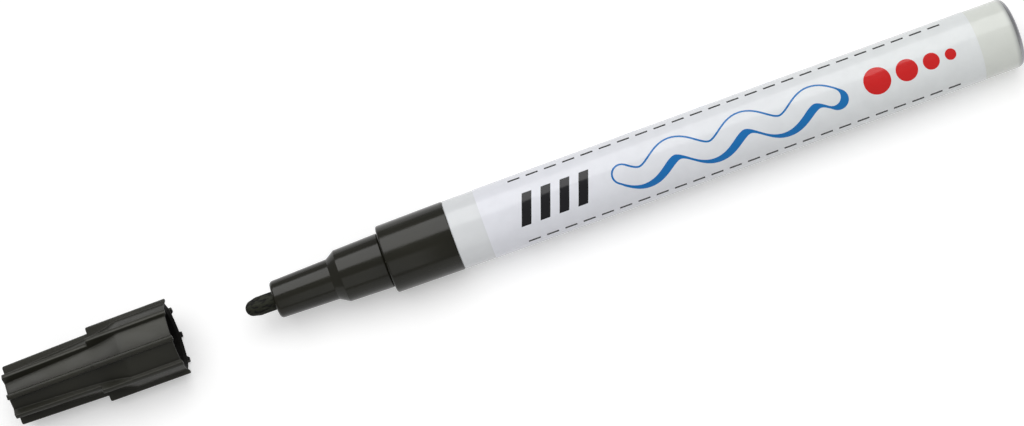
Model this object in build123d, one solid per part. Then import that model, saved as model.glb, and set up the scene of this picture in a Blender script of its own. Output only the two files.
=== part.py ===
from build123d import *
from math import acos, atan2, cos, pi, sin, sqrt
import os

# Paint marker lying on its side, cap pulled off and left in line with the nib.
# All lengths are millimetres. The pen's axis runs along X, nib towards -X.
# Stations along the axis count from the can's mouth, radii from the axis.

# Can: drawn aluminium barrel that holds the paint
can_diameter = 11.84
can_length = 98.8
can_wall = 0.40
can_floor = 0.70
can_edge_radius = 1.15
can_mouth_bevel = 0.20

# Printed film wrapped once round the can, with a butt seam underneath
film_thickness = 0.08
film_front_margin = 5.5
film_rear_margin = 7.1
film_seam = 0.4

# Front section: collar, cap seat, shoulder and nose in one moulding
collar_length = 11.75
collar_proud = 0.04
collar_draft = 0.15
collar_edge_bevel = 0.20
cap_seat_length = 7.6
cap_seat_diameter = 9.43
cap_seat_draft = 0.225
shoulder_length = 1.6
nose_length = 10.45
nose_diameter = 7.0
nose_draft = 0.31
nose_edge_radius = 0.60
nose_guide_length = 4.0
nose_chamber_diameter = 4.4
air_groove_count = 6
air_groove_width = 0.6
air_groove_depth = 0.45
spigot_length = 8.0
spigot_chamfer = 0.5

# Seal ring between the spigot and the can
seal_section = 1.0
seal_groove_slack = 0.1

# Nib: fibre rod with a bullet point
nib_diameter = 3.2
nib_length = 23.0
nib_reach = 5.15
nib_bullet_length = 2.2
nib_point_radius = 1.35
nib_travel = 2.0
nib_tail_chamfer = 0.4

# Valve unit behind the nib
socket_overlap = 5.0
socket_wall = 1.25
nib_stop_room = 0.55
stop_shelf = 1.4
valve_body_diameter = 7.8
valve_body_wall = 0.9
seat_wall = 1.2
seat_thickness = 1.0
port_diameter = 2.6
window_count = 4
window_length = 3.0
window_width = 2.2
window_margin = 1.0
retainer_plug_length = 1.8
retainer_flange = 0.8
plug_setback = 0.2
stem_pin_diameter = 1.8
stem_head_diameter = 4.6
stem_head_thickness = 0.8
stem_head_bevel = 0.25
spring_wire = 0.45
spring_diameter = 4.2
spring_turns = 6
spring_wire_sides = 4

# Agitator ball, loose in the can
ball_diameter = 4.8
ball_rest_share = 0.62

# Cap: fluted core with ribs that step up towards the mouth
cap_gap = 12.36
cap_end_wall = 2.51
cap_wall = 1.0
cap_flute_wall = 1.20
cap_step_wall = 0.55
cap_plain_mouth = 8.7
cap_lip_lead = 0.15
cap_edge_bevel = 0.20
rib_count = 8
rib_width = 1.0
rib_length = 13.69
rib_height = 0.74
rib_draft = 0.07
rib_foot = 0.30
rib_root = 0.35
rib_edge_bevel = 0.14
rib_corner_bevel = 0.20
land_end_height = 1.38
land_step_height = 0.15
crest_lengthwise_share = 0.99

# Liner pressed into the cap, sealing round the nose
liner_wall = 0.40
liner_lip_lead = 0.30
liner_end_wall = 0.70
liner_margin = 0.35
well_diameter = 4.2
nib_room = 0.85

# Clearances between pieces
nib_clearance = 0.06
press_clearance = 0.02
touch_gap = 0.02
stem_clearance = 0.08
cap_clearance = 0.12
cap_stop_gap = 0.05
ball_clearance = 0.05
ball_stop_room = 0.3
cut_overrun = 1.0

# Stations from the nib's tip to the end of the can
can_mouth = 0
can_end = can_mouth + can_length
collar_front = can_mouth - collar_length
shoulder_rear = collar_front - cap_seat_length
shoulder_front = shoulder_rear - shoulder_length
nose_front = shoulder_front - nose_length
nib_tip = nose_front - nib_reach
nib_rear = nib_tip + nib_length
spigot_rear = can_mouth + spigot_length

# Radii of the pen's outside
can_r = can_diameter / 2
can_bore_r = can_r - can_wall
film_r = can_r + film_thickness
collar_rear_r = can_r + collar_proud
collar_front_r = collar_rear_r - collar_draft
seat_rear_r = cap_seat_diameter / 2
seat_front_r = seat_rear_r - cap_seat_draft
nose_rear_r = nose_diameter / 2
nose_front_r = nose_rear_r - nose_draft
spigot_r = can_bore_r - press_clearance

# Nib and valve
nib_r = nib_diameter / 2
nib_bore_r = nib_r + nib_clearance
socket_front = nib_rear - socket_overlap
socket_rear = nib_rear + nib_travel + nib_stop_room
socket_r = nib_bore_r + socket_wall
valve_stop = socket_rear - stop_shelf
valve_body_r = valve_body_diameter / 2
valve_chamber_r = valve_body_r - valve_body_wall
seat_front = socket_rear + seat_wall
seat_rear = seat_front + seat_thickness
port_r = port_diameter / 2
window_front = spigot_rear + window_margin
window_rear = window_front + window_length
plug_front = window_rear + plug_setback
valve_body_rear = plug_front + retainer_plug_length
retainer_rear = valve_body_rear + retainer_flange
stem_front = nib_rear + touch_gap
stem_head_front = seat_rear + touch_gap
stem_head_rear = stem_head_front + stem_head_thickness
stem_pin_r = stem_pin_diameter / 2
stem_head_r = stem_head_diameter / 2
spring_r = (spring_diameter - spring_wire) / 2
seal_r = can_bore_r - press_clearance - seal_section / 2

# Ball's run between the open valve and the can's floor
ball_r = ball_diameter / 2
ball_first = retainer_rear + nib_travel + ball_stop_room + ball_r
ball_last = can_end - can_floor - ball_stop_room - ball_r
ball_station = ball_first + ball_rest_share * (ball_last - ball_first)
ball_drop = can_bore_r - ball_r - ball_clearance

# Cap at rest, and the depths inside it of the closed pen's features
cap_mouth = nib_tip - cap_gap
cap_travel = collar_front - cap_stop_gap - cap_mouth
seat_depth = cap_seat_length - cap_stop_gap
nose_depth = seat_depth + shoulder_length
nose_end_depth = nose_depth + nose_length
nib_depth = nose_end_depth + nib_reach
liner_front_depth = nose_depth + liner_margin
well_step_depth = nose_end_depth + liner_margin
well_end_depth = nib_depth + nib_room
liner_step_depth = well_step_depth + liner_end_wall
liner_end_depth = well_end_depth + liner_end_wall
cap_floor_depth = liner_end_depth + press_clearance
cap_length = cap_floor_depth + cap_end_wall
cap_end = cap_mouth - cap_length
core_bend = cap_mouth - liner_step_depth
flare_end = cap_mouth - cap_plain_mouth
rib_step = cap_mouth - rib_length

# Radii of the cap, from the pen outwards
cap_bore_r = seat_rear_r + cap_clearance
liner_bore_r = nose_rear_r + cap_clearance
well_r = well_diameter / 2
liner_r = liner_bore_r + liner_wall
liner_well_r = well_r + liner_wall
core_end_r = liner_well_r + press_clearance + cap_flute_wall
core_step_r = liner_r + press_clearance + cap_step_wall
cap_mouth_r = cap_bore_r + cap_wall
rib_mouth_r = cap_mouth_r + rib_height
rib_step_r = rib_mouth_r - rib_draft
land_end_r = core_end_r + land_end_height


def turned(corners, rounds=()):
    """Turn a closed outline of (station, radius) corners about the pen's axis.

    rounds lists pairs of a corner and its fillet radius.
    """
    outline = make_face(Polyline(*corners, close=True))
    for corner, radius in rounds:
        vertex = outline.vertices().sort_by_distance((*corner, 0))[0]
        outline = fillet(vertex, radius)
    return revolve(outline, Axis.X)


def round_the_axis(piece, count):
    """Copies of a piece, evenly spaced about the pen's axis."""
    return [Rot(X=360 * turn / count) * piece for turn in range(count)]


def barrel_can():
    """Thin can with a flat floor and a rounded rear edge."""
    rear_corner = (can_end, can_r)
    floor_top = can_end - can_floor
    floor_bevel = can_edge_radius - can_wall
    corners = [
        (can_mouth, can_bore_r),
        (can_mouth, can_r - can_mouth_bevel),
        (can_mouth + can_mouth_bevel, can_r),
        rear_corner,
        (can_end, 0),
        (floor_top, 0),
        (floor_top, can_bore_r - floor_bevel),
        (floor_top - floor_bevel, can_bore_r),
    ]
    return turned(corners, [(rear_corner, can_edge_radius)])


def label_film():
    """Wrapped film, open by the butt seam along the underside."""
    front = can_mouth + film_front_margin
    rear = can_end - film_rear_margin
    wrap = turned([(front, can_r), (front, film_r), (rear, film_r), (rear, can_r)])
    slit = Box(
        rear - front + cut_overrun,
        film_seam,
        film_r,
        align=(Align.CENTER, Align.CENTER, Align.MAX),
    )
    return wrap - Pos((front + rear) / 2, 0, -can_r / 2) * slit


def front_section():
    """Collar, cap seat, shoulder and nose outside; nib guide and valve bore inside."""
    nose_corner = (nose_front, nose_front_r)
    groove_half = (seal_section + seal_groove_slack) / 2
    groove_middle = (can_mouth + spigot_rear) / 2
    groove_r = seal_r - seal_section / 2 - press_clearance
    guide_rear = nose_front + nose_guide_length
    chamber_r = nose_chamber_diameter / 2
    socket_seat_r = socket_r + press_clearance
    valve_bore_r = valve_body_r + press_clearance
    body = turned(
        [
            (nose_front, nib_bore_r),
            nose_corner,
            (shoulder_front, nose_rear_r),
            (shoulder_rear, seat_front_r),
            (collar_front, seat_rear_r),
            (collar_front, collar_front_r - collar_edge_bevel),
            (collar_front + collar_edge_bevel, collar_front_r),
            (can_mouth, collar_rear_r),
            (can_mouth, spigot_r),
            (groove_middle - groove_half, spigot_r),
            (groove_middle - groove_half, groove_r),
            (groove_middle + groove_half, groove_r),
            (groove_middle + groove_half, spigot_r),
            (spigot_rear - spigot_chamfer, spigot_r),
            (spigot_rear, spigot_r - spigot_chamfer),
            (spigot_rear, valve_bore_r),
            (valve_stop, valve_bore_r),
            (valve_stop, socket_seat_r),
            (socket_front, socket_seat_r),
            (socket_front, chamber_r),
            (guide_rear, chamber_r),
            (guide_rear, nib_bore_r),
        ],
        [(nose_corner, nose_edge_radius)],
    )
    groove = Box(
        nose_guide_length + 2 * cut_overrun,
        air_groove_width,
        nib_bore_r + air_groove_depth,
        align=(Align.CENTER, Align.CENTER, Align.MIN),
    )
    groove = Pos(nose_front + nose_guide_length / 2, 0, 0) * groove
    return body - round_the_axis(groove, air_groove_count)


def spigot_seal():
    """Square-section ring in the spigot's groove."""
    front = (can_mouth + spigot_rear - seal_section) / 2
    rear = front + seal_section
    outer_r = seal_r + seal_section / 2
    inner_r = seal_r - seal_section / 2
    return turned([(front, inner_r), (front, outer_r), (rear, outer_r), (rear, inner_r)])


def nib():
    """Rod with a round point that a tangent cone joins to the shank, and a bevelled tail."""
    shank = (nib_tip + nib_bullet_length, nib_r)
    centre = (nib_tip + nib_point_radius, 0)
    from_centre = Vector(shank[0] - centre[0], shank[1])
    slope = acos(nib_point_radius / from_centre.length)
    aim = atan2(from_centre.Y, from_centre.X) + slope
    meet = (centre[0] + nib_point_radius * cos(aim), nib_point_radius * sin(aim))
    halfway = (pi + aim) / 2
    middle = (centre[0] + nib_point_radius * cos(halfway), nib_point_radius * sin(halfway))
    point = ThreePointArc((nib_tip, 0), middle, meet)
    rest = Polyline(
        meet,
        shank,
        (nib_rear - nib_tail_chamfer, nib_r),
        (nib_rear, nib_r - nib_tail_chamfer),
        (nib_rear, 0),
        (nib_tip, 0),
    )
    return revolve(make_face([point, rest]), Axis.X)


def valve_body():
    """Nib socket, ported wall and windowed spring chamber in one moulding."""
    body = turned(
        [
            (socket_front, nib_bore_r),
            (socket_front, socket_r),
            (valve_stop, socket_r),
            (valve_stop, valve_body_r),
            (valve_body_rear, valve_body_r),
            (valve_body_rear, valve_chamber_r),
            (seat_front, valve_chamber_r),
            (seat_front, port_r),
            (socket_rear, port_r),
            (socket_rear, nib_bore_r),
        ]
    )
    window = Box(
        window_length,
        window_width,
        valve_body_r + cut_overrun,
        align=(Align.MIN, Align.CENTER, Align.MIN),
    )
    return body - round_the_axis(Pos(window_front, 0, 0) * window, window_count)


def valve_seat():
    """Flat rubber ring against the ported wall."""
    rim_r = valve_chamber_r - press_clearance
    return turned(
        [(seat_front, port_r), (seat_front, rim_r), (seat_rear, rim_r), (seat_rear, port_r)]
    )


def valve_stem():
    """Pin that the nib pushes, sealing head, and tail guided by the retainer."""
    return turned(
        [
            (stem_front, 0),
            (stem_front, stem_pin_r),
            (stem_head_front, stem_pin_r),
            (stem_head_front, stem_head_r - stem_head_bevel),
            (stem_head_front + stem_head_bevel, stem_head_r),
            (stem_head_rear, stem_head_r),
            (stem_head_rear, stem_pin_r),
            (retainer_rear, stem_pin_r),
            (retainer_rear, 0),
        ]
    )


def valve_retainer():
    """Plug pressed into the spring chamber, bored for the stem's tail."""
    plug_r = valve_chamber_r - press_clearance
    hub_r = stem_pin_r + stem_clearance
    return turned(
        [
            (plug_front, hub_r),
            (plug_front, plug_r),
            (valve_body_rear, plug_r),
            (valve_body_rear, valve_body_r),
            (retainer_rear, valve_body_r),
            (retainer_rear, hub_r),
        ]
    )


def spring_point(turn, first, pitch):
    """Point on the spring's centre line after some number of turns."""
    angle = 2 * pi * turn
    return Vector(first + pitch * turn, spring_r * cos(angle), spring_r * sin(angle))


def spring_tangent(turn, pitch):
    """Unit direction of the spring's centre line after some number of turns."""
    angle = 2 * pi * turn
    sweep_speed = 2 * pi * spring_r
    return Vector(pitch, -sweep_speed * sin(angle), sweep_speed * cos(angle)).normalized()


def biarc(start, start_way, end, end_way):
    """Two tangent arcs between two points with given directions."""
    chord = end - start
    ways = start_way + end_way
    bend = 2 * (1 - start_way.dot(end_way))
    along = chord.dot(ways)
    reach = (sqrt(along * along + bend * chord.dot(chord)) - along) / bend
    meet = (start + end + (start_way - end_way) * reach) / 2
    first = TangentArc(start, meet, tangent=start_way)
    second = TangentArc(meet, end, tangent=first % 1)
    return [first, second]


def valve_spring():
    """Open coil from the stem's head to the retainer, one tube along half-turn biarcs."""
    wire_r = spring_wire / 2
    first = stem_head_rear + touch_gap + wire_r
    last = plug_front - touch_gap - wire_r
    pitch = (last - first) / spring_turns
    print("spring: gap between turns", round(pitch - spring_wire, 3), "mm")
    arcs = []
    for half in range(2 * spring_turns):
        begin = half / 2
        finish = (half + 1) / 2
        arcs += biarc(
            spring_point(begin, first, pitch),
            spring_tangent(begin, pitch),
            spring_point(finish, first, pitch),
            spring_tangent(finish, pitch),
        )
    path = Wire([arc.edge() for arc in arcs])
    section = Plane(path @ 0, z_dir=path % 0) * RegularPolygon(wire_r, spring_wire_sides)
    return sweep(section, path)


def agitator_ball():
    """Steel ball lying on the can's inside."""
    return Pos(ball_station, 0, -ball_drop) * Sphere(ball_r)


def depth(distance):
    """Station of a place inside the cap, counted from its mouth."""
    return cap_mouth - distance


def cap_core():
    """Flared body of the cap with its stepped bore."""
    liner_seat_r = liner_r + press_clearance
    well_seat_r = liner_well_r + press_clearance
    return turned(
        [
            (cap_end, 0),
            (cap_end, core_end_r - cap_edge_bevel),
            (cap_end + cap_edge_bevel, core_end_r),
            (core_bend, core_step_r),
            (flare_end, cap_mouth_r),
            (depth(cap_edge_bevel), cap_mouth_r),
            (cap_mouth, cap_mouth_r - cap_edge_bevel),
            (cap_mouth, cap_bore_r + cap_lip_lead),
            (depth(cap_lip_lead), cap_bore_r),
            (depth(seat_depth), cap_bore_r),
            (depth(liner_front_depth), liner_seat_r),
            (depth(liner_step_depth), liner_seat_r),
            (depth(liner_step_depth), well_seat_r),
            (depth(cap_floor_depth), well_seat_r),
            (depth(cap_floor_depth), 0),
        ]
    )


def core_radius(station):
    """Outer radius of the cap's core between the closed end and the mouth."""
    bends = [(cap_end, core_end_r), (core_bend, core_step_r), (flare_end, cap_mouth_r)]
    for (start, start_r), (end, end_r) in zip(bends, bends[1:]):
        if station <= end:
            return start_r + (end_r - start_r) * (station - start) / (end - start)
    return cap_mouth_r


def runs_along_crest(edge):
    """True for a rib's long outer edges, on the land and on the raised part."""
    middle = edge.center()
    ends = edge.end_point() - edge.start_point()
    lengthwise = abs(ends.X) > crest_lengthwise_share * edge.length
    return lengthwise and middle.Y > core_radius(middle.X)


def cap_rib():
    """One rib: a low land from the closed end, stepping up to the mouth and past it."""
    end_corner = (cap_end, land_end_r)
    step_corner = (rib_step, rib_step_r)
    foot_corner = (cap_mouth + rib_foot, rib_mouth_r)
    outline = make_face(
        Polyline(
            (cap_end, core_end_r - rib_root),
            end_corner,
            (rib_step, core_radius(rib_step) + land_step_height),
            step_corner,
            foot_corner,
            (cap_mouth + rib_foot, cap_mouth_r + rib_foot),
            (cap_mouth, cap_mouth_r),
            (cap_mouth - rib_root, cap_mouth_r - rib_root),
            (flare_end, cap_mouth_r - rib_root),
            (core_bend, core_step_r - rib_root),
            close=True,
        )
    )
    for corner in (end_corner, step_corner, foot_corner):
        vertex = outline.vertices().sort_by_distance((*corner, 0))[0]
        outline = chamfer(vertex, rib_corner_bevel)
    rib = extrude(outline, rib_width / 2, both=True)
    crests = [edge for edge in rib.edges() if runs_along_crest(edge)]
    return chamfer(crests, rib_edge_bevel)


def cap_shell():
    """Fluted core with its ribs; two ribs side by side touch the table."""
    rib = Rot(X=180 / rib_count) * cap_rib()
    return cap_core() + round_the_axis(rib, rib_count)


def cap_liner():
    """Soft inner cap: a lip round the nose and a closed well round the nib."""
    lip = depth(liner_front_depth)
    return turned(
        [
            (lip, liner_bore_r + liner_lip_lead),
            (lip, liner_r),
            (depth(liner_step_depth), liner_r),
            (depth(liner_step_depth), liner_well_r),
            (depth(liner_end_depth), liner_well_r),
            (depth(liner_end_depth), 0),
            (depth(well_end_depth), 0),
            (depth(well_end_depth), well_r),
            (depth(well_step_depth), well_r),
            (depth(well_step_depth), liner_bore_r),
            (lip - liner_lip_lead, liner_bore_r),
        ]
    )


pieces = {
    "barrel_can": barrel_can(),
    "label_film": label_film(),
    "front_section": front_section(),
    "spigot_seal": spigot_seal(),
    "nib": nib(),
    "valve_body": valve_body(),
    "valve_seat": valve_seat(),
    "valve_stem": valve_stem(),
    "valve_retainer": valve_retainer(),
    "valve_spring": valve_spring(),
    "agitator_ball": agitator_ball(),
    "cap_shell": cap_shell(),
    "cap_liner": cap_liner(),
}

# The axis lies as high as the lowest rib needs, with the length centred on the origin
axis_height = -pieces["cap_shell"].bounding_box().min.Z
resting_place = Pos(-(cap_end + can_end) / 2, 0, axis_height)

os.makedirs("parts", exist_ok=True)
for name, piece in pieces.items():
    export_step(resting_place * piece, f"parts/{name}.step")
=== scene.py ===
import math

import bpy
from mathutils import Matrix, Vector, noise
from mathutils.geometry import delaunay_2d_cdt


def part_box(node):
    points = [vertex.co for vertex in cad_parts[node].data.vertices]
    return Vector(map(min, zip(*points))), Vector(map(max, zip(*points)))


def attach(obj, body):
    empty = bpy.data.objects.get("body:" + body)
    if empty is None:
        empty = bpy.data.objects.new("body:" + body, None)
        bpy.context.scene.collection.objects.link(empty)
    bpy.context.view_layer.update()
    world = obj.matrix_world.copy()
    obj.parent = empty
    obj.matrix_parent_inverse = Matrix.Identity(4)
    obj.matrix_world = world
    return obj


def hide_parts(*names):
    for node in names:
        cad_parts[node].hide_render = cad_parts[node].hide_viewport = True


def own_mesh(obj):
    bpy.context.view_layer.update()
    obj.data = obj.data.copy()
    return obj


# Paint marker lying in line with its cap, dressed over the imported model.
# Lengths are millimetres, angles degrees, until a mesh, lamp or camera is made.
# Stations run along X. Angles about the pen count from straight up towards the viewer.
MM = 0.001
ALONG = Vector((1, 0, 0))

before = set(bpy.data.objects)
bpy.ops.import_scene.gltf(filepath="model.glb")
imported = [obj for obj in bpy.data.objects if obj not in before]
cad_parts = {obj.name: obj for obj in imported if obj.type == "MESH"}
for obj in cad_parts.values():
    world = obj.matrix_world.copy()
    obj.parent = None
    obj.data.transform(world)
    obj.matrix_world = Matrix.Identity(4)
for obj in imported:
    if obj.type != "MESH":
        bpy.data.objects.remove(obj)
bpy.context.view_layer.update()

# Round pieces
TURN_STEPS = 192
ARC_STEPS = 6
SHARP_EDGE = 34

# Front section
COLLAR_LENGTH = 11.75
COLLAR_DRAFT = 0.15
SEAT_LENGTH = 7.85
SEAT_RADIUS = 4.715
SEAT_DRAFT = 0.225
SHOULDER_LENGTH = 1.6
NOSE_RADIUS = 3.5
NOSE_DRAFT = 0.31
NOSE_ROUND = 0.60
SHOULDER_ROUND = 0.25
COLLAR_ROUND = 0.36
ROOT_RELIEF_LENGTH = 0.32
ROOT_RELIEF_DEPTH = 0.15
STEP_FILLET = 0.08
GUIDE_LENGTH = 4.0
GUIDE_GAP = 0.06
CHAMBER_RADIUS = 2.2
AIR_GROOVES = 6
AIR_GROOVE_WIDTH = 0.6
AIR_GROOVE_DEPTH = 0.45
SPIGOT_RADIUS = 5.50
SPIGOT_BEVEL = 0.5
SEAL_GROOVE_SLACK = 0.1
VALVE_BORE_LENGTH = 20.4
SOCKET_WALL = 1.25
PRESS_GAP = 0.02

# Can
CAN_WALL = 0.40
CAN_FLOOR = 0.70
CAN_REAR_ROUND = 1.15
CAN_MOUTH_ROUND = 0.3

# Nib
BULLET_LENGTH = 2.2
POINT_RADIUS = 1.35
NIB_TAIL_BEVEL = 0.4
POINT_RINGS = 35
NIB_RINGS = 70
FIBRE_RELIEF = 0.05
FIBRE_LENGTH = 0.9
FIBRE_WIDTH = 0.2

# Cap. The first rib stands a share of the ribs' pitch from the top. The soft share is where the middle
# of a rounded edge lies, as a share of its bevel.
RIBS = 8
FIRST_RIB_SHARE = 0.5
RIB_LENGTH = 13.69
RIB_FOOT = 0.30
RIB_HEIGHT = 0.74
RIB_DRAFT = 0.07
RIB_ROOT_WIDTH = 1.0
RIB_CREST_WIDTH = 0.88
RIB_CROWN = 16
RIB_CORNER = 0.16
RIB_FILLET = 0.14
CORNER_SHARE = 0.3
SOFT_SHARE = 1 - math.sqrt(0.5)
FLUTE_FLAT_SHARE = 0.5
LAND_END_RADIUS = 5.10
LAND_STEP_RADIUS = 5.465
CORE_END_RADIUS = 3.72
CORE_BEND_RADIUS = 4.40
FLARE_START = 18.3
FLARE_END = 8.5
FLARE_POWER = 3
MOUTH_RADIUS = 5.835
MOUTH_BORE = 4.835
MOUTH_LEAD = 0.45
BORE_DEPTH = 7.55
LINER_DEPTH = 9.5
LINER_SEAT = 4.04
WELL_DEPTH = 20.65
WELL_SEAT = 2.52
FLOOR_DEPTH = 26.32
EDGE_BEVEL = 0.20
MOUTH_BEVEL = 0.10
RIM_WIDTH = 0.40
RIM_STRIP = 0.15
STEP_RAMP = 0.03
STATION_SPACING = 0.6
GATE_RADIUS = 0.9
GATE_DEPTH = 0.12

# Valve spring
SPRING_TURNS = 6
WIRE_RADIUS = 0.225
WIRE_SIDES = 12
COIL_STEPS = 40

# Film and its print
FILM_SEAM = 0.4
FILM_FACETS = 96
CUT_KEEPS_ALL = 0
CUT_PRECISION = 1e-6
PRINT_GROUPS = 3
PRINT_CENTRE = 22.5
WAVE_START = 24.0
WAVE_LENGTH = 12.2
WAVE_COUNT = 3
WAVE_RISE = 1.45
WAVE_WIDTH = 2.9
WAVE_OUTLINE = 0.32
WAVE_SHADOW = (0.85, 0.70)
WAVE_STEPS = 96
STRIPE_START = 6.6
STRIPE_COUNT = 4
STRIPE_PITCH = 3.3
STRIPE_WIDTH = 1.7
STRIPE_HEIGHT = 5.4
STRIPE_SLANT = 1.9
DOT_START = 66.2
DOT_DIAMETERS = (4.6, 3.7, 2.8, 1.9)
DOT_GAP = 1.0
DOT_STEPS = 48
DASH_START = 6.0
DASH_COUNT = 24
DASH_PITCH = 3.2
DASH_LENGTH = 2.1
DASH_WIDTH = 0.5
PANEL_COUNTS = (24, 22, 24, 19, 11)
PANEL_PITCH = 1.25

# Finishes. A grain is the sizes of its clouds, its patches of gloss and its relief, then the relief's
# depth. A gloss is the roughness where the grain is low and where it is high. A cloud is the level of a
# colour's other shade. A rim's reach is where it starts and where it is full, from the can's end.
GRAIN_SHARES = (0.3, 0.7)
GRAIN_DETAIL = 3
MOULDED_GRAIN = ((9, 5, 5), (3.5, 1.6, 1.6), (0.22, 0.16, 0.16), 0.004)
MOULDED_CLOUD = 1.35
SECTION_BLACK = (0.0112, 0.0108, 0.0070)
SECTION_WORN = (0.024, 0.023, 0.019)
SECTION_GLOSS = (0.15, 0.20)
SECTION_SHINE = 0.22
CAP_BLACK = (0.0101, 0.0099, 0.0057)
CAP_WORN = (0.032, 0.030, 0.025)
CAP_GLOSS = (0.38, 0.46)
CAP_SHINE = 0.27
WEAR_REACH = 0.11
WEAR_SHARES = (0.60, 0.94)
# Between the cap's ribs: painted shade darkens the recesses, which are also rougher there.
RECESS_REACH = 1.2
RECESS_SHARES = (0.45, 0.90)
RECESS_PAINTED_SHADE = (0.0050, 0.0047, 0.0036)
RECESS_ROUGHER = 0.45
LOOK_SAMPLES = 6
FILM_GRAIN = ((2.4, 2.4, 2.4), (5, 1.5, 1.5), (6, 1.8, 1.8), 0.006)
FILM_CLOUD = 0.965
FILM_SHINE = 0.21
FILM_GLOSS = (0.10, 0.14)
INK_GLOSS = (0.12, 0.16)
INK_COLOURS = {
    "white": ((0.815, 0.825, 0.880), (0.807, 0.833, 0.836)),
    "blue": ((0.012, 0.17, 0.50), (0.012, 0.175, 0.48)),
    "red": ((0.66, 0.018, 0.018), (0.64, 0.018, 0.018)),
    "black": ((0.012, 0.012, 0.014), (0.013, 0.013, 0.014)),
}
LACQUER_GRAIN = ((3, 2, 2), (4, 1.2, 1.2), (2.5, 0.9, 0.9), 0.002)
LACQUER_CLOUD = 0.973
LACQUER_SHINE = 0.24
LACQUER_GLOSS = (0.11, 0.15)
LACQUER_FRONT = (0.735, 0.751, 0.766)
LACQUER_REAR = (0.735, 0.759, 0.711)
# The rim's grey is painted shade on the lacquer towards the rear edge, and the tint of the bare metal
# there.
RIM_METAL_AND_PAINTED_SHADE = (0.25, 0.25, 0.268)
RIM_SHADE_REACH = (1.65, 0.35)
RIM_METAL_REACH = (1.00, 0.50)
RIM_ROUGHER = 0.2
FIBRE_GRAIN = (1.1, 0.42, 0.42)
FIBRE_DEPTH = 0.12
FIBRE_GAP_SHARES = (0.40, 0.56)
FIBRE_GAP_BLACK = (0.003, 0.003, 0.003)
FIBRE_BLACK = (0.0140, 0.0150, 0.0085)
FIBRE_GLOSS = (0.9, 0.6)
FIBRE_SHINE = 0.15
# Inside the cap's bore: a rougher black, darkened as painted shade.
BORE_GRAIN = ((2, 1, 1), (0.9, 0.5, 0.5), (0.4, 0.3, 0.3), 0.010)
BORE_PAINTED_SHADE = (0.0030, 0.0028, 0.0022)
BORE_GLOSS = (0.70, 0.85)
BORE_SHINE = 0.08
INNER_GRAIN = ((1.5, 1.0, 1.0), (0.8, 0.5, 0.5), (0.3, 0.2, 0.2), 0.004)
INNER_CLOUD = 0.92
INNER_SHINE = 0.5
NATURAL_WHITE = (0.82, 0.81, 0.77)
NATURAL_GLOSS = (0.35, 0.50)
LINER_WHITE = (0.75, 0.75, 0.72)
LINER_GLOSS = (0.40, 0.55)
RUBBER_BLACK = (0.03, 0.03, 0.03)
RUBBER_GLOSS = (0.6, 0.8)
WIRE_STEEL = (0.56, 0.56, 0.57)
WIRE_GLOSS = (0.25, 0.40)
BALL_STEEL = (0.62, 0.62, 0.62)
BALL_GLOSS = (0.1, 0.2)
WHITE = (1, 1, 1, 1)

# Places of the colours among a Mix node's sockets
MIX_FIRST = 6
MIX_SECOND = 7
MIX_RESULT = 2

# Camera: its focal length in pixels, where it stands and what it aims at
IMAGE_WIDTH = 1024
FOCAL_PIXELS = 2550
SENSOR_WIDTH = 36
CAMERA_DISTANCE = 423
CAMERA_ELEVATION = 67.5
CAMERA_ROLL = 20.02
AIM_ALONG = -0.06
AIM_ABOVE = 0.14
CLIP_NEAR = 42.3
CLIP_FAR = 16000

# Light. The softbox and the fill stand at one distance. Each spans the angles near to far, counted from
# the camera's, and reaches along the pen to a front and a rear, both counted outward from the origin.
SOFTBOX_NEAR = 24.5
SOFTBOX_FAR = 78
SOFTBOX_DISTANCE = 450
SOFTBOX_FRONT = 475
SOFTBOX_REAR = 290
SOFTBOX_RADIANCE = 4.0
FILL_NEAR = -10.5
FILL_FAR = -58
FILL_FRONT = 170
FILL_REAR = -30
FILL_RADIANCE = 0.85
KEY_ANGLE = 98
KEY_DISTANCE = 900
KEY_SIZE = 900
KEY_RADIANCE = 1.9
SKY_LEVEL = 0.47
FLOOR_SIZE = 8000
FLOOR_COLOUR = 0.82
FLOOR_GLOW = 0.33


def mid_height(node):
    """Height of a node's middle."""
    low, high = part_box(node)
    return (low.z + high.z) / 2 / MM


def ends(node):
    """First and last station of a node."""
    low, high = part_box(node)
    return low.x / MM, high.x / MM


def half_width(node):
    """Half of a node's width across the pen."""
    low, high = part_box(node)
    return (high.y - low.y) / 2 / MM


AXIS_HEIGHT = mid_height("nib")
NIB_TIP, NIB_REAR = ends("nib")
NIB_RADIUS = half_width("nib")
NOSE_FRONT, SPIGOT_REAR = ends("front_section")
CAN_MOUTH, CAN_END = ends("barrel_can")
CAN_RADIUS = half_width("barrel_can")
FILM_FRONT, FILM_REAR = ends("label_film")
FILM_RADIUS = half_width("label_film")
COLLAR_RADIUS = half_width("front_section")
CAP_END, CAP_FEET = ends("cap_shell")
CAP_MOUTH = CAP_FEET - RIB_FOOT
GUIDE_BORE = NIB_RADIUS + GUIDE_GAP
SOCKET_FRONT = ends("valve_body")[0]
VALVE_BORE = half_width("valve_body") + PRESS_GAP


def about_axis(station, radius, angle):
    """Point at a radius and an angle (radians) about the pen's axis."""
    return (station, -radius * math.sin(angle), AXIS_HEIGHT + radius * math.cos(angle))


def piece_from(name, points, faces, body, node, material):
    """A smooth mesh piece that rides on a body and stands for a CAD node."""
    mesh = bpy.data.meshes.new(name)
    mesh.from_pydata([Vector(point) * MM for point in points], [], faces)
    mesh.shade_smooth()
    mesh.set_sharp_from_angle(angle=math.radians(SHARP_EDGE))
    mesh.materials.append(material)
    piece = bpy.data.objects.new(name, mesh)
    bpy.context.scene.collection.objects.link(piece)
    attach(piece, body)
    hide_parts(node)
    return piece


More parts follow.
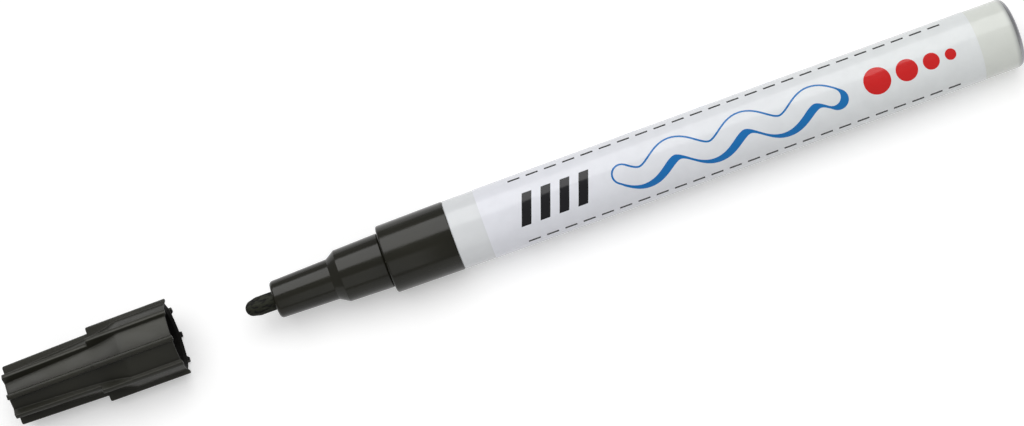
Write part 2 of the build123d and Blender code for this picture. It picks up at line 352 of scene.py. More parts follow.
def rounded(corners):
    """Closed outline through (station, radius, rounding) corners, rounded by tangent arcs."""
    outline = []
    count = len(corners)
    for index, (station, radius, rounding) in enumerate(corners):
        corner = Vector((station, radius))
        if not rounding:
            outline.append(corner)
            continue
        before = Vector(corners[index - 1][:2])
        after = Vector(corners[(index + 1) % count][:2])
        way_in = (corner - before).normalized()
        way_out = (after - corner).normalized()
        turn = way_in.angle_signed(way_out)
        centre = corner + (way_out - way_in).normalized() * rounding / math.cos(turn / 2)
        start = corner - way_in * rounding * math.tan(abs(turn) / 2) - centre
        for step in range(ARC_STEPS + 1):
            spin = Matrix.Rotation(-turn * step / ARC_STEPS, 2)
            outline.append(centre + spin @ start)
    return outline


def skin(rings):
    """Faces between closed rings of vertex numbers; a ring of one vertex is a pole."""
    faces = []
    for ring, after in zip(rings, rings[1:]):
        count = max(len(ring), len(after))
        for step in range(count):
            turn = (step + 1) % count
            if len(ring) == 1:
                faces.append((ring[0], after[turn], after[step]))
            elif len(after) == 1:
                faces.append((ring[step], ring[turn], after[0]))
            else:
                faces.append((ring[step], ring[turn], after[turn], after[step]))
    return faces


def turned(outline, radius_at=None):
    """Points and faces of a closed outline turned about the axis.

    radius_at(station, radius, angle) may change a radius round the turn.
    """
    points = []
    rings = []
    for station, radius in outline:
        steps = TURN_STEPS if radius else 1
        rings.append(list(range(len(points), len(points) + steps)))
        for step in range(steps):
            angle = 2 * math.pi * step / steps
            reach = radius_at(station, radius, angle) if radius_at else radius
            points.append(about_axis(station, reach, angle))
    if len(rings[0]) > 1:
        rings.append(rings[0])
    return points, skin(rings)


def section_outside():
    """Corners of the front section's nose, shoulder, cap seat and collar."""
    collar_front = CAN_MOUTH - COLLAR_LENGTH
    shoulder_rear = collar_front - SEAT_LENGTH
    shoulder_front = shoulder_rear - SHOULDER_LENGTH
    return [
        (NOSE_FRONT, GUIDE_BORE, 0),
        (NOSE_FRONT, NOSE_RADIUS - NOSE_DRAFT, NOSE_ROUND),
        (shoulder_front, NOSE_RADIUS, SHOULDER_ROUND),
        (shoulder_rear, SEAT_RADIUS - SEAT_DRAFT, SHOULDER_ROUND),
        (collar_front - ROOT_RELIEF_LENGTH, SEAT_RADIUS, STEP_FILLET),
        (collar_front, SEAT_RADIUS - ROOT_RELIEF_DEPTH, 0),
        (collar_front, COLLAR_RADIUS - COLLAR_DRAFT, COLLAR_ROUND),
        (CAN_MOUTH, COLLAR_RADIUS, STEP_FILLET),
    ]


def section_inside():
    """Corners of the spigot with its seal groove, the valve's bore and the nib's chamber and guide."""
    seal_front, seal_rear = ends("spigot_seal")
    groove_front = seal_front - SEAL_GROOVE_SLACK / 2
    groove_rear = seal_rear + SEAL_GROOVE_SLACK / 2
    groove_radius = half_width("spigot_seal") - (seal_rear - seal_front) - PRESS_GAP
    valve_stop = SPIGOT_REAR - VALVE_BORE_LENGTH
    socket_seat = GUIDE_BORE + SOCKET_WALL + PRESS_GAP
    guide_rear = NOSE_FRONT + GUIDE_LENGTH
    return [
        (CAN_MOUTH, SPIGOT_RADIUS, 0),
        (groove_front, SPIGOT_RADIUS, 0),
        (groove_front, groove_radius, 0),
        (groove_rear, groove_radius, 0),
        (groove_rear, SPIGOT_RADIUS, 0),
        (SPIGOT_REAR - SPIGOT_BEVEL, SPIGOT_RADIUS, 0),
        (SPIGOT_REAR, SPIGOT_RADIUS - SPIGOT_BEVEL, 0),
        (SPIGOT_REAR, VALVE_BORE, 0),
        (valve_stop, VALVE_BORE, 0),
        (valve_stop, socket_seat, 0),
        (SOCKET_FRONT, socket_seat, 0),
        (SOCKET_FRONT, CHAMBER_RADIUS, 0),
        (guide_rear, CHAMBER_RADIUS, 0),
        (guide_rear, GUIDE_BORE, 0),
    ]


def front_section(material):
    """Black moulding between the can and the nib, with air grooves along the nib's guide."""
    groove_half = AIR_GROOVE_WIDTH / 2
    groove_floor = GUIDE_BORE + AIR_GROOVE_DEPTH

    def grooved(station, radius, angle):
        """The guide's bore, deeper along its air grooves."""
        pitch = 2 * math.pi / AIR_GROOVES
        off = abs((angle + pitch / 2) % pitch - pitch / 2)
        in_groove = radius < groove_floor and off < groove_half / GUIDE_BORE
        return groove_floor if in_groove else radius

    points, faces = turned(rounded(section_outside() + section_inside()), grooved)
    return piece_from(
        "front_section_moulded", points, faces, "marker", "front_section", material
    )


def barrel_can(material):
    """Drawn can with a rounded rear edge."""
    bore = CAN_RADIUS - CAN_WALL
    outline = rounded(
        [
            (CAN_END - CAN_FLOOR, 0, 0),
            (CAN_END - CAN_FLOOR, bore, CAN_REAR_ROUND - CAN_WALL),
            (CAN_MOUTH, bore, 0),
            (CAN_MOUTH, CAN_RADIUS, CAN_MOUTH_ROUND),
            (CAN_END, CAN_RADIUS, CAN_REAR_ROUND),
            (CAN_END, 0, 0),
        ]
    )
    points, faces = turned(outline)
    return piece_from(
        "barrel_can_drawn", points, faces, "marker", "barrel_can", material
    )


def nib_outline():
    """Radius of the smooth nib along its length."""
    shank = NIB_TIP + BULLET_LENGTH
    centre = NIB_TIP + POINT_RADIUS
    to_shank = Vector((shank - centre, NIB_RADIUS))
    aim = math.atan2(to_shank.y, to_shank.x) + math.acos(POINT_RADIUS / to_shank.length)
    outline = [(NIB_TIP, 0)]
    for step in range(1, POINT_RINGS + 1):
        angle = math.pi + (aim - math.pi) * step / POINT_RINGS
        outline.append((centre + POINT_RADIUS * math.cos(angle), POINT_RADIUS * math.sin(angle)))
    last = outline[-1]
    length = NIB_REAR - NIB_TAIL_BEVEL - last[0]
    for step in range(1, NIB_RINGS + 1):
        station = last[0] + length * step / NIB_RINGS
        slope = min((station - last[0]) / (shank - last[0]), 1)
        outline.append((station, last[1] + (NIB_RADIUS - last[1]) * slope))
    outline.append((NIB_REAR, NIB_RADIUS - NIB_TAIL_BEVEL))
    outline.append((NIB_REAR, 0))
    return outline


def nib(material):
    """Fibre rod with a bullet point, furrowed along its fibres."""

    def fibrous(station, radius, angle):
        """A radius drawn in by the furrows between bundles of fibres."""
        spot = Vector((0, math.cos(angle), math.sin(angle))) * NIB_RADIUS / FIBRE_WIDTH
        spot.x = station / FIBRE_LENGTH
        fray = max(-1, min(1, noise.noise(spot)))
        return radius - FIBRE_RELIEF * (1 + fray) / 2 * radius / NIB_RADIUS

    points, faces = turned(nib_outline(), fibrous)
    return piece_from("nib_fibre", points, faces, "nib", "nib", material)


def core_radius(depth):
    """Outside radius of the cap's core at a depth behind its mouth: a slight taper, then a flare."""
    if depth <= FLARE_END:
        return MOUTH_RADIUS
    rise = (CORE_BEND_RADIUS - CORE_END_RADIUS) / (CAP_MOUTH - CAP_END - FLARE_START)
    taper = CORE_BEND_RADIUS + rise * (FLARE_START - depth)
    flare = MOUTH_RADIUS - CORE_BEND_RADIUS - rise * (FLARE_START - FLARE_END)
    share = max(FLARE_START - depth, 0) / (FLARE_START - FLARE_END)
    return taper + flare * share**FLARE_POWER


def crest_half(crest, corner):
    """Half of a rib's crowned crest, from its middle round the corner to the rib's side."""
    side = RIB_CREST_WIDTH / 2
    tilt = math.radians(RIB_CROWN)
    reach = side - corner + corner * math.sin(tilt)
    drop = math.tan(tilt) / 2 * reach
    shoulder = crest - drop - corner * math.cos(tilt)
    half = []
    for step in range(ARC_STEPS):
        share = step / ARC_STEPS
        half.append((reach * share, crest - drop * share * share))
    for step in range(ARC_STEPS + 1):
        angle = tilt + (math.pi / 2 - tilt) * step / ARC_STEPS
        half.append((side - corner + corner * math.sin(angle), shoulder + corner * math.cos(angle)))
    return half


def root_fillet(core, root, fillet):
    """Fillet from a rib's root out onto the core."""
    arc = []
    for step in range(ARC_STEPS + 1):
        angle = math.pi / 2 * step / ARC_STEPS
        across = root + fillet * (1 - math.cos(angle))
        core_out = math.sqrt(core * core - across * across)
        arc.append((across, core_out + fillet * (1 - math.sin(angle))))
    return arc


def flute_half(core, start_angle):
    """Half of a flute's bed, part flattened, from an angle off the rib's middle to the flute's own."""
    half_flute = math.pi / RIBS - start_angle
    half = []
    for step in range(1, ARC_STEPS + 1):
        off_middle = half_flute * (1 - step / ARC_STEPS)
        sink = 1 - math.cos(half_flute) / math.cos(off_middle)
        bed = core * (1 - FLUTE_FLAT_SHARE * sink)
        angle = math.pi / RIBS - off_middle
        half.append((bed * math.sin(angle), bed * math.cos(angle)))
    return half


def rib_half(crest, core):
    """Half of a rib and its flute, from the crest's middle to the flute's, as (across, out) points."""
    root = RIB_ROOT_WIDTH / 2
    foot_out = math.sqrt(core * core - root * root)
    height = crest - foot_out
    corner = min(RIB_CORNER, height * CORNER_SHARE)
    fillet = min(RIB_FILLET, height * CORNER_SHARE)
    half = crest_half(crest, corner)
    side, shoulder = half[-1]
    half.append(((side + root) / 2, (shoulder + foot_out + fillet) / 2))
    half += root_fillet(core, root, fillet)
    return half + flute_half(core, math.atan2(root + fillet, foot_out))


def cap_section(crest, core):
    """One section of the cap, rib by rib, as (radius, angle, height in its own rib's line)."""
    half = rib_half(crest, core)
    whole = [(-across, out) for across, out in half[:0:-1]] + half[:-1]
    section = []
    for rib in range(RIBS):
        middle = 2 * math.pi * (rib + FIRST_RIB_SHARE) / RIBS
        for across, out in whole:
            section.append((math.hypot(across, out), middle + math.atan2(across, out), out))
    return section


def level_ring(station, section):
    """A section at one station."""
    return [about_axis(station, radius, angle) for radius, angle, _ in section]


def footed_ring(station, section):
    """A section whose ribs reach past the core by the rib's foot."""
    ring = []
    for radius, angle, out in section:
        foot = min(max(out - MOUTH_RADIUS, 0), RIB_FOOT)
        ring.append(about_axis(station + foot, radius, angle))
    return ring


def plain_ring(station, radius):
    """A round section with its points at the angles of the ribbed ones."""
    section = cap_section(LAND_END_RADIUS, CORE_END_RADIUS)
    return [about_axis(station, radius, angle) for _, angle, _ in section]


def stations(start, end):
    """Even stations from one to another, with both ends."""
    count = math.ceil((end - start) / STATION_SPACING)
    return [start + (end - start) * step / count for step in range(count + 1)]


def cap_lands():
    """Rings from the closed end to the ribs' step, where the ribs are low lands."""
    step_station = CAP_MOUTH - RIB_LENGTH
    soft_bevel = EDGE_BEVEL * SOFT_SHARE
    first = CAP_END + EDGE_BEVEL
    last = step_station - STEP_RAMP

    def land(station, trim):
        """A ring with its outline drawn in by trim at the rounded end."""
        share = (station - CAP_END) / (step_station - CAP_END)
        crest = LAND_END_RADIUS + (LAND_STEP_RADIUS - LAND_END_RADIUS) * share
        return level_ring(station, cap_section(crest - trim, core_radius(CAP_MOUTH - station) - trim))

    rings = [land(CAP_END, EDGE_BEVEL + STEP_RAMP), land(CAP_END, EDGE_BEVEL)]
    rings += [land(CAP_END + soft_bevel, soft_bevel)]
    return rings + [land(station, 0) for station in stations(first, last)]


def cap_ribs():
    """Rings of the raised ribs, from their step to their feet and in to the mouth's rim."""
    step_station = CAP_MOUTH - RIB_LENGTH
    rib_mouth = MOUTH_RADIUS + RIB_HEIGHT
    soft_step = EDGE_BEVEL * SOFT_SHARE
    soft_mouth = MOUTH_BEVEL * SOFT_SHARE
    rim_core = MOUTH_RADIUS - MOUTH_BEVEL - STEP_RAMP

    def rib(station, trim, core_trim, ring):
        """A ring with its crest and core drawn in at the rounded edges."""
        crest = rib_mouth - RIB_DRAFT * (CAP_MOUTH - station) / RIB_LENGTH
        return ring(station, cap_section(crest - trim, core_radius(CAP_MOUTH - station) - core_trim))

    flared = CAP_MOUTH - FLARE_END
    last = CAP_MOUTH - MOUTH_BEVEL
    even = stations(step_station + EDGE_BEVEL, flared) + stations(flared, last)[1:-1]
    rings = [rib(step_station, EDGE_BEVEL, 0, level_ring)]
    rings += [rib(step_station + soft_step, soft_step, 0, level_ring)]
    rings += [rib(station, 0, 0, level_ring) for station in even]
    rings += [rib(last, 0, 0, footed_ring)]
    rings += [rib(CAP_MOUTH - soft_mouth, soft_mouth, soft_mouth, footed_ring)]
    rings += [rib(CAP_MOUTH, MOUTH_BEVEL, MOUTH_BEVEL, footed_ring)]
    rings += [footed_ring(CAP_MOUTH, cap_section(MOUTH_RADIUS + RIB_FOOT, rim_core))]
    return rings + [footed_ring(CAP_MOUTH, cap_section(MOUTH_RADIUS, MOUTH_RADIUS - RIM_WIDTH))]


def cap_end():
    """Rings of the closed end, from the middle of the moulding mark out to the lands."""
    return [
        [(CAP_END + GATE_DEPTH, 0, AXIS_HEIGHT)],
        plain_ring(CAP_END + GATE_DEPTH, GATE_RADIUS - GATE_DEPTH),
        plain_ring(CAP_END, GATE_RADIUS),
        plain_ring(CAP_END, CORE_END_RADIUS - 2 * EDGE_BEVEL - RIB_FILLET),
    ]


def cap_bore():
    """Rings from the mouth's rim down the bore, the liner's seat and the well to its floor."""
    rings = [plain_ring(CAP_MOUTH, MOUTH_RADIUS - RIM_WIDTH - RIM_STRIP)]
    for depth, radius in [
        (MOUTH_LEAD, MOUTH_BORE),
        (BORE_DEPTH, MOUTH_BORE),
        (LINER_DEPTH, LINER_SEAT),
        (WELL_DEPTH, LINER_SEAT),
        (WELL_DEPTH, WELL_SEAT),
        (FLOOR_DEPTH, WELL_SEAT),
    ]:
        rings.append(plain_ring(CAP_MOUTH - depth, radius))
    return rings + [[(CAP_MOUTH - FLOOR_DEPTH, 0, AXIS_HEIGHT)]]


def cap_shell(material, inside):
    """Fluted core with stepped ribs, lofted from the closed end, round the mouth and down the bore."""
    outside = cap_end() + cap_lands() + cap_ribs()
    points = []
    numbered = []
    for ring in outside + cap_bore():
        numbered.append(list(range(len(points), len(points) + len(ring))))
        points += ring
    cap = piece_from(
        "cap_shell_moulded", points, skin(numbered), "cap", "cap_shell", material
    )
    cap.data.materials.append(inside)
    # The last strip of faces outside, on the rim, has the bore's finish too: a rougher black darkened
    # as painted shade.
    outside_count = (len(outside) - 2) * len(outside[-1])
    for polygon in cap.data.polygons[outside_count:]:
        polygon.material_index = 1
    return cap


def valve_spring(material):
    """Round-wire coil between the ends of the valve spring's node."""
    front, rear = ends("valve_spring")
    coil_radius = half_width("valve_spring") - WIRE_RADIUS
    first = front + WIRE_RADIUS
    pitch = (rear - front - 2 * WIRE_RADIUS) / SPRING_TURNS
    points = []
    rings = []
    for step in range(SPRING_TURNS * COIL_STEPS + 1):
        turn = step / COIL_STEPS
        angle = 2 * math.pi * turn
        out = Vector((0, math.cos(angle), math.sin(angle)))
        centre = Vector((first + pitch * turn, 0, AXIS_HEIGHT)) + out * coil_radius
        rings.append(list(range(len(points), len(points) + WIRE_SIDES)))
        for side in range(WIRE_SIDES):
            spin = 2 * math.pi * side / WIRE_SIDES
            points.append(centre + (out * math.cos(spin) - ALONG * math.sin(spin)) * WIRE_RADIUS)
    faces = skin(rings) + [tuple(reversed(rings[0])), tuple(rings[-1])]
    piece = piece_from(
        "valve_spring_coil", points, faces, "marker", "valve_spring", material
    )
    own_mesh(piece)
    return piece


def round_end(start, end):
    """Points of the half circle that turns from one side of a ribbon to the other."""
    centre = (start + end) / 2
    arm = start - centre
    return [
        centre + Matrix.Rotation(math.pi * step / (2 * ARC_STEPS), 2) @ arm
        for step in range(1, 2 * ARC_STEPS)
    ]


def wave_loop(widen, shift):
    """Outline of the wavy ribbon with round ends, widened and shifted."""
    half = WAVE_WIDTH / 2 + widen
    length = WAVE_LENGTH * WAVE_COUNT
    upper = []
    lower = []
    for step in range(WAVE_STEPS + 1):
        along = length * step / WAVE_STEPS
        phase = 2 * math.pi * along / WAVE_LENGTH
        slope = WAVE_RISE * 2 * math.pi / WAVE_LENGTH * math.cos(phase)
        normal = Vector((-slope, 1)).normalized()
        middle = Vector((WAVE_START + along, WAVE_RISE * math.sin(phase))) + Vector(shift)
        upper.append(middle - normal * half)
        lower.append(middle + normal * half)
    rear_end = round_end(upper[-1], lower[-1])
    front_end = round_end(lower[0], upper[0])
    return upper + rear_end + lower[::-1] + front_end


def bar(left, width, height, lean):
    """Outline of a printed bar that starts at left and is slanted by a lean each way."""
    right = left + width
    half = height / 2
    return [
        Vector((left + lean, -half)),
        Vector((right + lean, -half)),
        Vector((right - lean, half)),
        Vector((left - lean, half)),
    ]


def stripe_loops():
    """Slanted bars in front of the ribbon."""
    return [
        bar(STRIPE_START + STRIPE_PITCH * stripe, STRIPE_WIDTH, STRIPE_HEIGHT, STRIPE_SLANT / 2)
        for stripe in range(STRIPE_COUNT)
    ]


def dot_loops():
    """Row of dots behind the ribbon, each smaller than the last."""
    loops = []
    along = DOT_START
    for diameter in DOT_DIAMETERS:
        centre = Vector((along + diameter / 2, 0))
        loops.append(
            [
                centre + Matrix.Rotation(2 * math.pi * step / DOT_STEPS, 2) @ Vector((diameter / 2, 0))
                for step in range(DOT_STEPS)
            ]
        )
        along += diameter + DOT_GAP
    return loops


def dash_loops(count):
    """Dashed line along the film."""
    return [bar(DASH_START + DASH_PITCH * dash, DASH_LENGTH, DASH_WIDTH, 0) for dash in range(count)]


def motif_shapes():
    """Bars, ribbon and dots of one printed side, lower layers first."""
    shapes = [("blue", wave_loop(WAVE_OUTLINE, WAVE_SHADOW))]
    shapes += [("blue", wave_loop(WAVE_OUTLINE, (0, 0)))]
    shapes += [("white", wave_loop(0, (0, 0)))]
    shapes += [("black", loop) for loop in stripe_loops()]
    return shapes + [("red", loop) for loop in dot_loops()]


def panel_shapes():
    """Rows of dashes, as long as their counts, for the side that lies underneath."""
    shapes = []
    for row, count in enumerate(PANEL_COUNTS):
        lift = Vector((0, PANEL_PITCH * (row - (len(PANEL_COUNTS) - 1) / 2)))
        shapes += [("black", [point + lift for point in loop]) for loop in dash_loops(count)]
    return shapes


def print_shapes():
    """All printed outlines on the flat film, lower layers first, as (ink, loop) pairs."""
    pitch = 2 * math.pi * FILM_RADIUS / PRINT_GROUPS
    centre = math.radians(PRINT_CENTRE) * FILM_RADIUS
    motif = motif_shapes()
    dashes = [("black", loop) for loop in dash_loops(DASH_COUNT)]
    shapes = []
    for place, group in ((-1, motif), (0, motif), (1, panel_shapes())):
        middle = Vector((0, centre + pitch * place))
        border = middle - Vector((0, pitch / 2))
        shapes += [(ink, [point + middle for point in loop]) for ink, loop in group]
        shapes += [(ink, [point + border for point in loop]) for ink, loop in dashes]
    return shapes


def flat_film():
    """The film unrolled: its points, its triangles and the ink on each triangle."""
    length = FILM_REAR - FILM_FRONT
    half_wrap = math.pi * FILM_RADIUS - FILM_SEAM / 2
    flat = []
    lines = []
    for facet in range(FILM_FACETS + 1):
        across = half_wrap * (2 * facet / FILM_FACETS - 1)
        lines.append((len(flat), len(flat) + 1))
        flat += [Vector((0, across)), Vector((length, across))]
    lines += [(0, 2 * FILM_FACETS), (1, 2 * FILM_FACETS + 1)]
    shapes = print_shapes()
    loops = []
    for _, loop in shapes:
        loops.append(list(range(len(flat), len(flat) + len(loop))))
        flat += loop
    flat, _, triangles, _, _, covers = delaunay_2d_cdt(
        flat, lines, loops, CUT_KEEPS_ALL, CUT_PRECISION
    )
    inks = [shapes[max(cover)][0] if cover else "white" for cover in covers]
    return flat, [tuple(reversed(face)) for face in triangles], inks


def open_edges(faces):
    """Edges that belong to one face only, in that face's direction."""
    edges = {edge for face in faces for edge in zip(face, face[1:] + face[:1])}
    return sorted(edge for edge in edges if edge[::-1] not in edges)


def label_film(materials):
    """Film wrapped round the can; its print is cut into the mesh, one material for each ink."""
    flat, outside, inks = flat_film()
    points = []
    for radius in (FILM_RADIUS, CAN_RADIUS):
        points += [about_axis(FILM_FRONT + spot.x, radius, spot.y / FILM_RADIUS) for spot in flat]
    under = len(flat)
    inside = [tuple(under + number for number in reversed(face)) for face in outside]
    rim = [(end, start, under + start, under + end) for start, end in open_edges(outside)]
    film = piece_from(
        "label_film_printed",
        points,
        outside + inside + rim,
        "marker",
        "label_film",
        materials["white"],
    )
    names = list(materials)
    for name in names[1:]:
        film.data.materials.append(materials[name])
    for polygon, ink in zip(film.data.polygons, inks):
        polygon.material_index = names.index(ink)
    return film


def new_material(name):
    """A material with its node tree and Principled shader."""
    material = bpy.data.materials.new(name)
    material.use_nodes = True
    return material, material.node_tree, material.node_tree.nodes["Principled BSDF"]


def new_node(tree, kind, **settings):
    """A shader node with some of its settings."""
    node = tree.nodes.new(kind)
    for key, value in settings.items():
        setattr(node, key, value)
    return node


def grain(tree, size):
    """Noise whose features have sizes along X, Y and Z."""
    coordinates = new_node(tree, "ShaderNodeTexCoord")
    mapping = new_node(tree, "ShaderNodeMapping")
    mapping.inputs["Scale"].default_value = [1 / (part * MM) for part in size]
    texture = new_node(tree, "ShaderNodeTexNoise")
    texture.inputs["Scale"].default_value = 1
    texture.inputs["Detail"].default_value = GRAIN_DETAIL
    tree.links.new(coordinates.outputs["Object"], mapping.inputs["Vector"])
    tree.links.new(mapping.outputs["Vector"], texture.inputs["Vector"])
    return texture.outputs["Fac"]


def remap(tree, value, from_low, from_high, low, high):
    """A value carried smoothly from one range to another."""
    node = new_node(tree, "ShaderNodeMapRange", interpolation_type="SMOOTHSTEP")
    tree.links.new(value, node.inputs["Value"])
    node.inputs["From Min"].default_value = from_low
    node.inputs["From Max"].default_value = from_high
    node.inputs["To Min"].default_value = low
    node.inputs["To Max"].default_value = high
    return node.outputs["Result"]


def mix_colours(tree, factor, first, second):
    """A colour between two, by a factor; either colour may be a socket."""
    node = new_node(tree, "ShaderNodeMix", data_type="RGBA")
    tree.links.new(factor, node.inputs["Factor"])
    for place, colour in ((MIX_FIRST, first), (MIX_SECOND, second)):
        if isinstance(colour, tuple):
            node.inputs[place].default_value = (*colour, 1)
        else:
            tree.links.new(colour, node.inputs[place])
    return node.outputs[MIX_RESULT]


def uneven(tree, size, low, high):
    """Noise of a size, spread over a range."""
    return remap(tree, grain(tree, size), *GRAIN_SHARES, low, high)


def along_pen(tree, start, end):
    """How far a place is from one station to another, from 0 to 1."""
    coordinates = new_node(tree, "ShaderNodeTexCoord")
    place = new_node(tree, "ShaderNodeSeparateXYZ")
    tree.links.new(coordinates.outputs["Object"], place.inputs["Vector"])
    return remap(tree, place.outputs["X"], start * MM, end * MM, 0, 1)


def nearness(tree, reach, shares, inside):
    """How close a piece's own walls stand, from 0 to 1, looking out of its surface or into it."""
    look = new_node(
        tree, "ShaderNodeAmbientOcclusion", inside=inside, only_local=True, samples=LOOK_SAMPLES
    )
    look.inputs["Distance"].default_value = reach * MM
    return remap(tree, look.outputs["AO"], *shares, 1, 0)


def scaled(colour, level):
    """A colour at a level of its own brightness."""
    return tuple(channel * level for channel in colour)


def drifting(tree, start, end, front, rear, cloud):
    """Two shades of a colour that changes along the pen."""
    drift = along_pen(tree, start, end)
    return [mix_colours(tree, drift, scaled(front, level), scaled(rear, level)) for level in (1, cloud)]


def add_bump(tree, shader, height, depth):
    """Relief of a depth on a shader."""
    node = new_node(tree, "ShaderNodeBump")
    node.inputs["Distance"].default_value = depth * MM
    tree.links.new(height, node.inputs["Height"])
    tree.links.new(node.outputs["Normal"], shader.inputs["Normal"])


def add_grain(tree, shader, sizes, shades, gloss, shine):
    """Clouds between two shades, patches of gloss and fine relief on a shader."""
    clouds, patches, relief, depth = sizes
    tree.links.new(mix_colours(tree, uneven(tree, clouds, 0, 1), *shades), shader.inputs["Base Color"])
    tree.links.new(uneven(tree, patches, *gloss), shader.inputs["Roughness"])
    shader.inputs["Specular IOR Level"].default_value = shine
    add_bump(tree, shader, grain(tree, relief), depth)


def lay_over(tree, shader, share, colour):
    """A colour over the shader's own, by a share."""
    base = shader.inputs["Base Color"].links[0].from_socket
    tree.links.new(mix_colours(tree, share, base, colour), shader.inputs["Base Color"])


def roughen(tree, shader, share, extra):
    """More roughness on a shader, by a share."""
    node = new_node(tree, "ShaderNodeMath", operation="MULTIPLY_ADD")
    tree.links.new(share, node.inputs[0])
    node.inputs[1].default_value = extra
    tree.links.new(shader.inputs["Roughness"].links[0].from_socket, node.inputs[2])
    tree.links.new(node.outputs["Value"], shader.inputs["Roughness"])


def moulded_black(name, colour, worn, gloss, shine):
    """Moulded black plastic with rubbed edges."""
    material, tree, shader = new_material(name)
    add_grain(tree, shader, MOULDED_GRAIN, (colour, scaled(colour, MOULDED_CLOUD)), gloss, shine)
    lay_over(tree, shader, nearness(tree, WEAR_REACH, WEAR_SHARES, True), worn)
    return material


def cap_black():
    """Moulded black, darkened by painted shade between the ribs, where it is also rougher."""
    material = moulded_black("cap_black", CAP_BLACK, CAP_WORN, CAP_GLOSS, CAP_SHINE)
    tree = material.node_tree
    shader = tree.nodes["Principled BSDF"]
    recess_shade_share = nearness(tree, RECESS_REACH, RECESS_SHARES, False)
    # Painted shade: a darker black laid into the recesses between the ribs.
    lay_over(tree, shader, recess_shade_share, RECESS_PAINTED_SHADE)
    roughen(tree, shader, recess_shade_share, RECESS_ROUGHER)
    return material


def printed(name, front, rear, gloss):
    """Film, or an ink on it, whose colour drifts along the pen."""
    material, tree, shader = new_material(name)
    shades = drifting(tree, FILM_FRONT, FILM_REAR, front, rear, FILM_CLOUD)
    add_grain(tree, shader, FILM_GRAIN, shades, gloss, FILM_SHINE)
    return material


def lacquered_can():
    """Pale lacquer that warms towards the rear, greyed by painted shade round the rear edge, where it
    wears through to dark metal.
    """
    material, tree, shader = new_material("can_lacquer")
    shades = drifting(tree, CAN_MOUTH, CAN_END, LACQUER_FRONT, LACQUER_REAR, LACQUER_CLOUD)
    add_grain(tree, shader, LACQUER_GRAIN, shades, LACQUER_GLOSS, LACQUER_SHINE)
    rim_shade, bare = [
        along_pen(tree, CAN_END - start, CAN_END - full)
        for start, full in (RIM_SHADE_REACH, RIM_METAL_REACH)
    ]
    # Painted shade: grey over the lacquer where the rear edge turns away from the light.
    lay_over(tree, shader, rim_shade, RIM_METAL_AND_PAINTED_SHADE)
    tree.links.new(bare, shader.inputs["Metallic"])
    roughen(tree, shader, bare, RIM_ROUGHER)
    return material


def black_fibre():
    """Inked fibre: matt, streaked along the rod, with dark gaps between the bundles."""
    material, tree, shader = new_material("nib_black_fibre")
    bundles = grain(tree, FIBRE_GRAIN)
    inked = remap(tree, bundles, *FIBRE_GAP_SHARES, 0, 1)
    tree.links.new(mix_colours(tree, inked, FIBRE_GAP_BLACK, FIBRE_BLACK), shader.inputs["Base Color"])
    tree.links.new(remap(tree, bundles, *GRAIN_SHARES, *FIBRE_GLOSS), shader.inputs["Roughness"])
    shader.inputs["Specular IOR Level"].default_value = FIBRE_SHINE
    add_bump(tree, shader, bundles, FIBRE_DEPTH)
    return material


def plain(name, colour, gloss, sizes=INNER_GRAIN, shine=INNER_SHINE, metallic=0.0):
    """One colour with faint clouds."""
    material, tree, shader = new_material(name)
    add_grain(tree, shader, sizes, (colour, scaled(colour, INNER_CLOUD)), gloss, shine)
    shader.inputs["Metallic"].default_value = metallic
    return material


def set_material(node, material):
    """Give a CAD node that stays a finished material."""
    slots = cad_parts[node].data.materials
    slots.clear()
    slots.append(material)


def dress_outside():
    """Build every piece that shows from outside."""
    front_section(
        moulded_black("section_black", SECTION_BLACK, SECTION_WORN, SECTION_GLOSS, SECTION_SHINE)
    )
    # The bore's darker black is painted shade inside the cap.
    cap_shell(cap_black(), plain("cap_bore_painted_shade", BORE_PAINTED_SHADE, BORE_GLOSS, BORE_GRAIN, BORE_SHINE))
    barrel_can(lacquered_can())
    materials = {}
    for ink, (front, rear) in INK_COLOURS.items():
        gloss = FILM_GLOSS if ink == "white" else INK_GLOSS
        materials[ink] = printed("print_" + ink, front, rear, gloss)
    label_film(materials)
    nib(black_fibre())


def dress_inside():
    """Build the spring and finish the other inner pieces."""
    valve_spring(plain("spring_steel", WIRE_STEEL, WIRE_GLOSS, metallic=1.0))
    natural = plain("valve_white", NATURAL_WHITE, NATURAL_GLOSS)
    rubber = plain("seal_rubber", RUBBER_BLACK, RUBBER_GLOSS)
    for node in ("valve_body", "valve_stem", "valve_retainer"):
        set_material(node, natural)
    for node in ("valve_seat", "spigot_seal"):
        set_material(node, rubber)
    set_material("agitator_ball", plain("ball_steel", BALL_STEEL, BALL_GLOSS, metallic=1.0))
    set_material("cap_liner", plain("liner_natural", LINER_WHITE, LINER_GLOSS))


def towards(angle):
    """Direction across the pen, at an angle from the front horizon over the top."""
    rise = math.radians(angle)
    return Vector((0, -math.cos(rise), math.sin(rise)))


def add_camera():
    """Camera square to the pen's axis, rolled so that the pen climbs to the right."""
    back = towards(CAMERA_ELEVATION)
    up = back.cross(ALONG)
    roll = math.radians(CAMERA_ROLL)
    camera_right = ALONG * math.cos(roll) - up * math.sin(roll)
    camera_up = ALONG * math.sin(roll) + up * math.cos(roll)
    aim = Vector((AIM_ALONG, 0, AXIS_HEIGHT)) + up * AIM_ABOVE
    data = bpy.data.cameras.new("camera")
    data.sensor_width = SENSOR_WIDTH
    data.sensor_fit = "HORIZONTAL"
    data.lens = FOCAL_PIXELS * SENSOR_WIDTH / IMAGE_WIDTH
    data.clip_start = CLIP_NEAR * MM
    data.clip_end = CLIP_FAR * MM
    camera = bpy.data.objects.new("camera", data)
    turn = Matrix((camera_right, camera_up, back)).transposed().to_4x4()
    camera.matrix_world = Matrix.Translation((aim + back * CAMERA_DISTANCE) * MM) @ turn
    bpy.context.scene.collection.objects.link(camera)
    bpy.context.scene.camera = camera


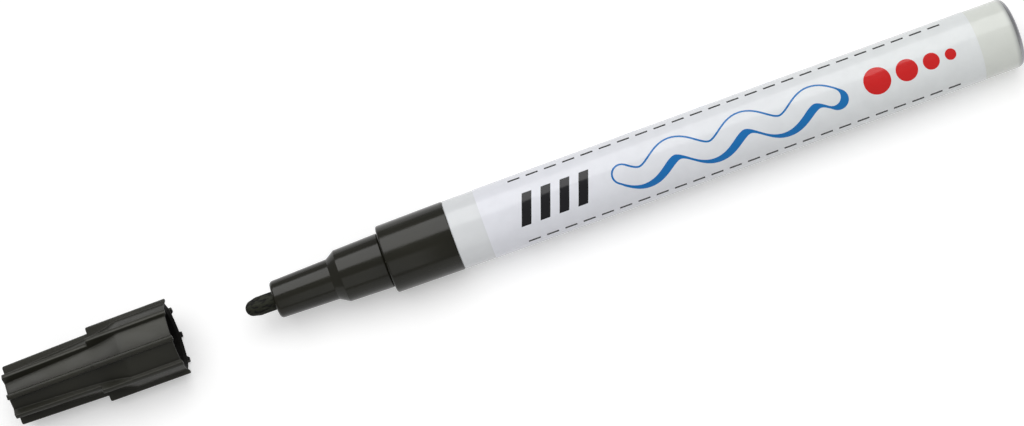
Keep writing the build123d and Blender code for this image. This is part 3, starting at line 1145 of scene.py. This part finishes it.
def add_lamp(name, angle, distance, front, rear, width, radiance):
    """Lamp, unseen by the camera, that faces the pen from an angle, between two reaches along it."""
    away = towards(angle)
    data = bpy.data.lights.new(name, "AREA")
    data.shape = "RECTANGLE"
    data.size = (front + rear) * MM
    data.size_y = width * MM
    data.energy = radiance * math.pi * data.size * data.size_y
    lamp = bpy.data.objects.new(name, data)
    lamp.visible_camera = False
    turn = Matrix((ALONG, away.cross(ALONG), away)).transposed().to_4x4()
    middle = Vector(((rear - front) / 2, 0, AXIS_HEIGHT)) + away * distance
    lamp.matrix_world = Matrix.Translation(middle * MM) @ turn
    bpy.context.scene.collection.objects.link(lamp)
    return lamp


def add_lamps():
    """A soft key from above that stays out of the gloss, and two panels that show only in it."""
    key = add_lamp("key", KEY_ANGLE, KEY_DISTANCE, KEY_SIZE / 2, KEY_SIZE / 2, KEY_SIZE, KEY_RADIANCE)
    key.visible_glossy = False
    for name, near, far, front, rear, radiance in (
        ("softbox", SOFTBOX_NEAR, SOFTBOX_FAR, SOFTBOX_FRONT, SOFTBOX_REAR, SOFTBOX_RADIANCE),
        ("fill", FILL_NEAR, FILL_FAR, FILL_FRONT, FILL_REAR, FILL_RADIANCE),
    ):
        width = 2 * SOFTBOX_DISTANCE * math.tan(math.radians(abs(far - near)) / 2)
        angle = CAMERA_ELEVATION + (near + far) / 2
        panel = add_lamp(name, angle, SOFTBOX_DISTANCE, front, rear, width, radiance)
        panel.visible_diffuse = False


def add_sky():
    """Even studio light from all round."""
    world = bpy.data.worlds.new("studio")
    bpy.context.scene.world = world
    world.use_nodes = True
    background = world.node_tree.nodes["Background"]
    background.inputs["Color"].default_value = WHITE
    background.inputs["Strength"].default_value = SKY_LEVEL


def floor_white():
    """Matt white that also glows to the camera, in gloss and through glass, so that it shows white."""
    material, tree, shader = new_material("floor_white")
    shader.inputs["Base Color"].default_value = (FLOOR_COLOUR, FLOOR_COLOUR, FLOOR_COLOUR, 1)
    shader.inputs["Roughness"].default_value = 1
    shader.inputs["Specular IOR Level"].default_value = 0
    shader.inputs["Emission Color"].default_value = WHITE
    path = new_node(tree, "ShaderNodeLightPath")
    seen = path.outputs["Is Camera Ray"]
    for kind in ("Is Glossy Ray", "Is Transmission Ray"):
        either = new_node(tree, "ShaderNodeMath", operation="MAXIMUM")
        tree.links.new(seen, either.inputs[0])
        tree.links.new(path.outputs[kind], either.inputs[1])
        seen = either.outputs[0]
    glow = new_node(tree, "ShaderNodeMath", operation="MULTIPLY")
    tree.links.new(seen, glow.inputs[0])
    glow.inputs[1].default_value = FLOOR_GLOW
    tree.links.new(glow.outputs[0], shader.inputs["Emission Strength"])
    return material


def add_floor():
    """Pale floor that shows white and keeps the shadow."""
    half = FLOOR_SIZE / 2 * MM
    corners = [(-half, -half, 0), (half, -half, 0), (half, half, 0), (-half, half, 0)]
    mesh = bpy.data.meshes.new("floor")
    mesh.from_pydata(corners, [], [range(len(corners))])
    mesh.materials.append(floor_white())
    floor = bpy.data.objects.new("floor", mesh)
    bpy.context.scene.collection.objects.link(floor)


dress_outside()
dress_inside()
add_camera()
add_lamps()
add_sky()
add_floor()
bpy.context.scene.view_settings.view_transform = "Standard"
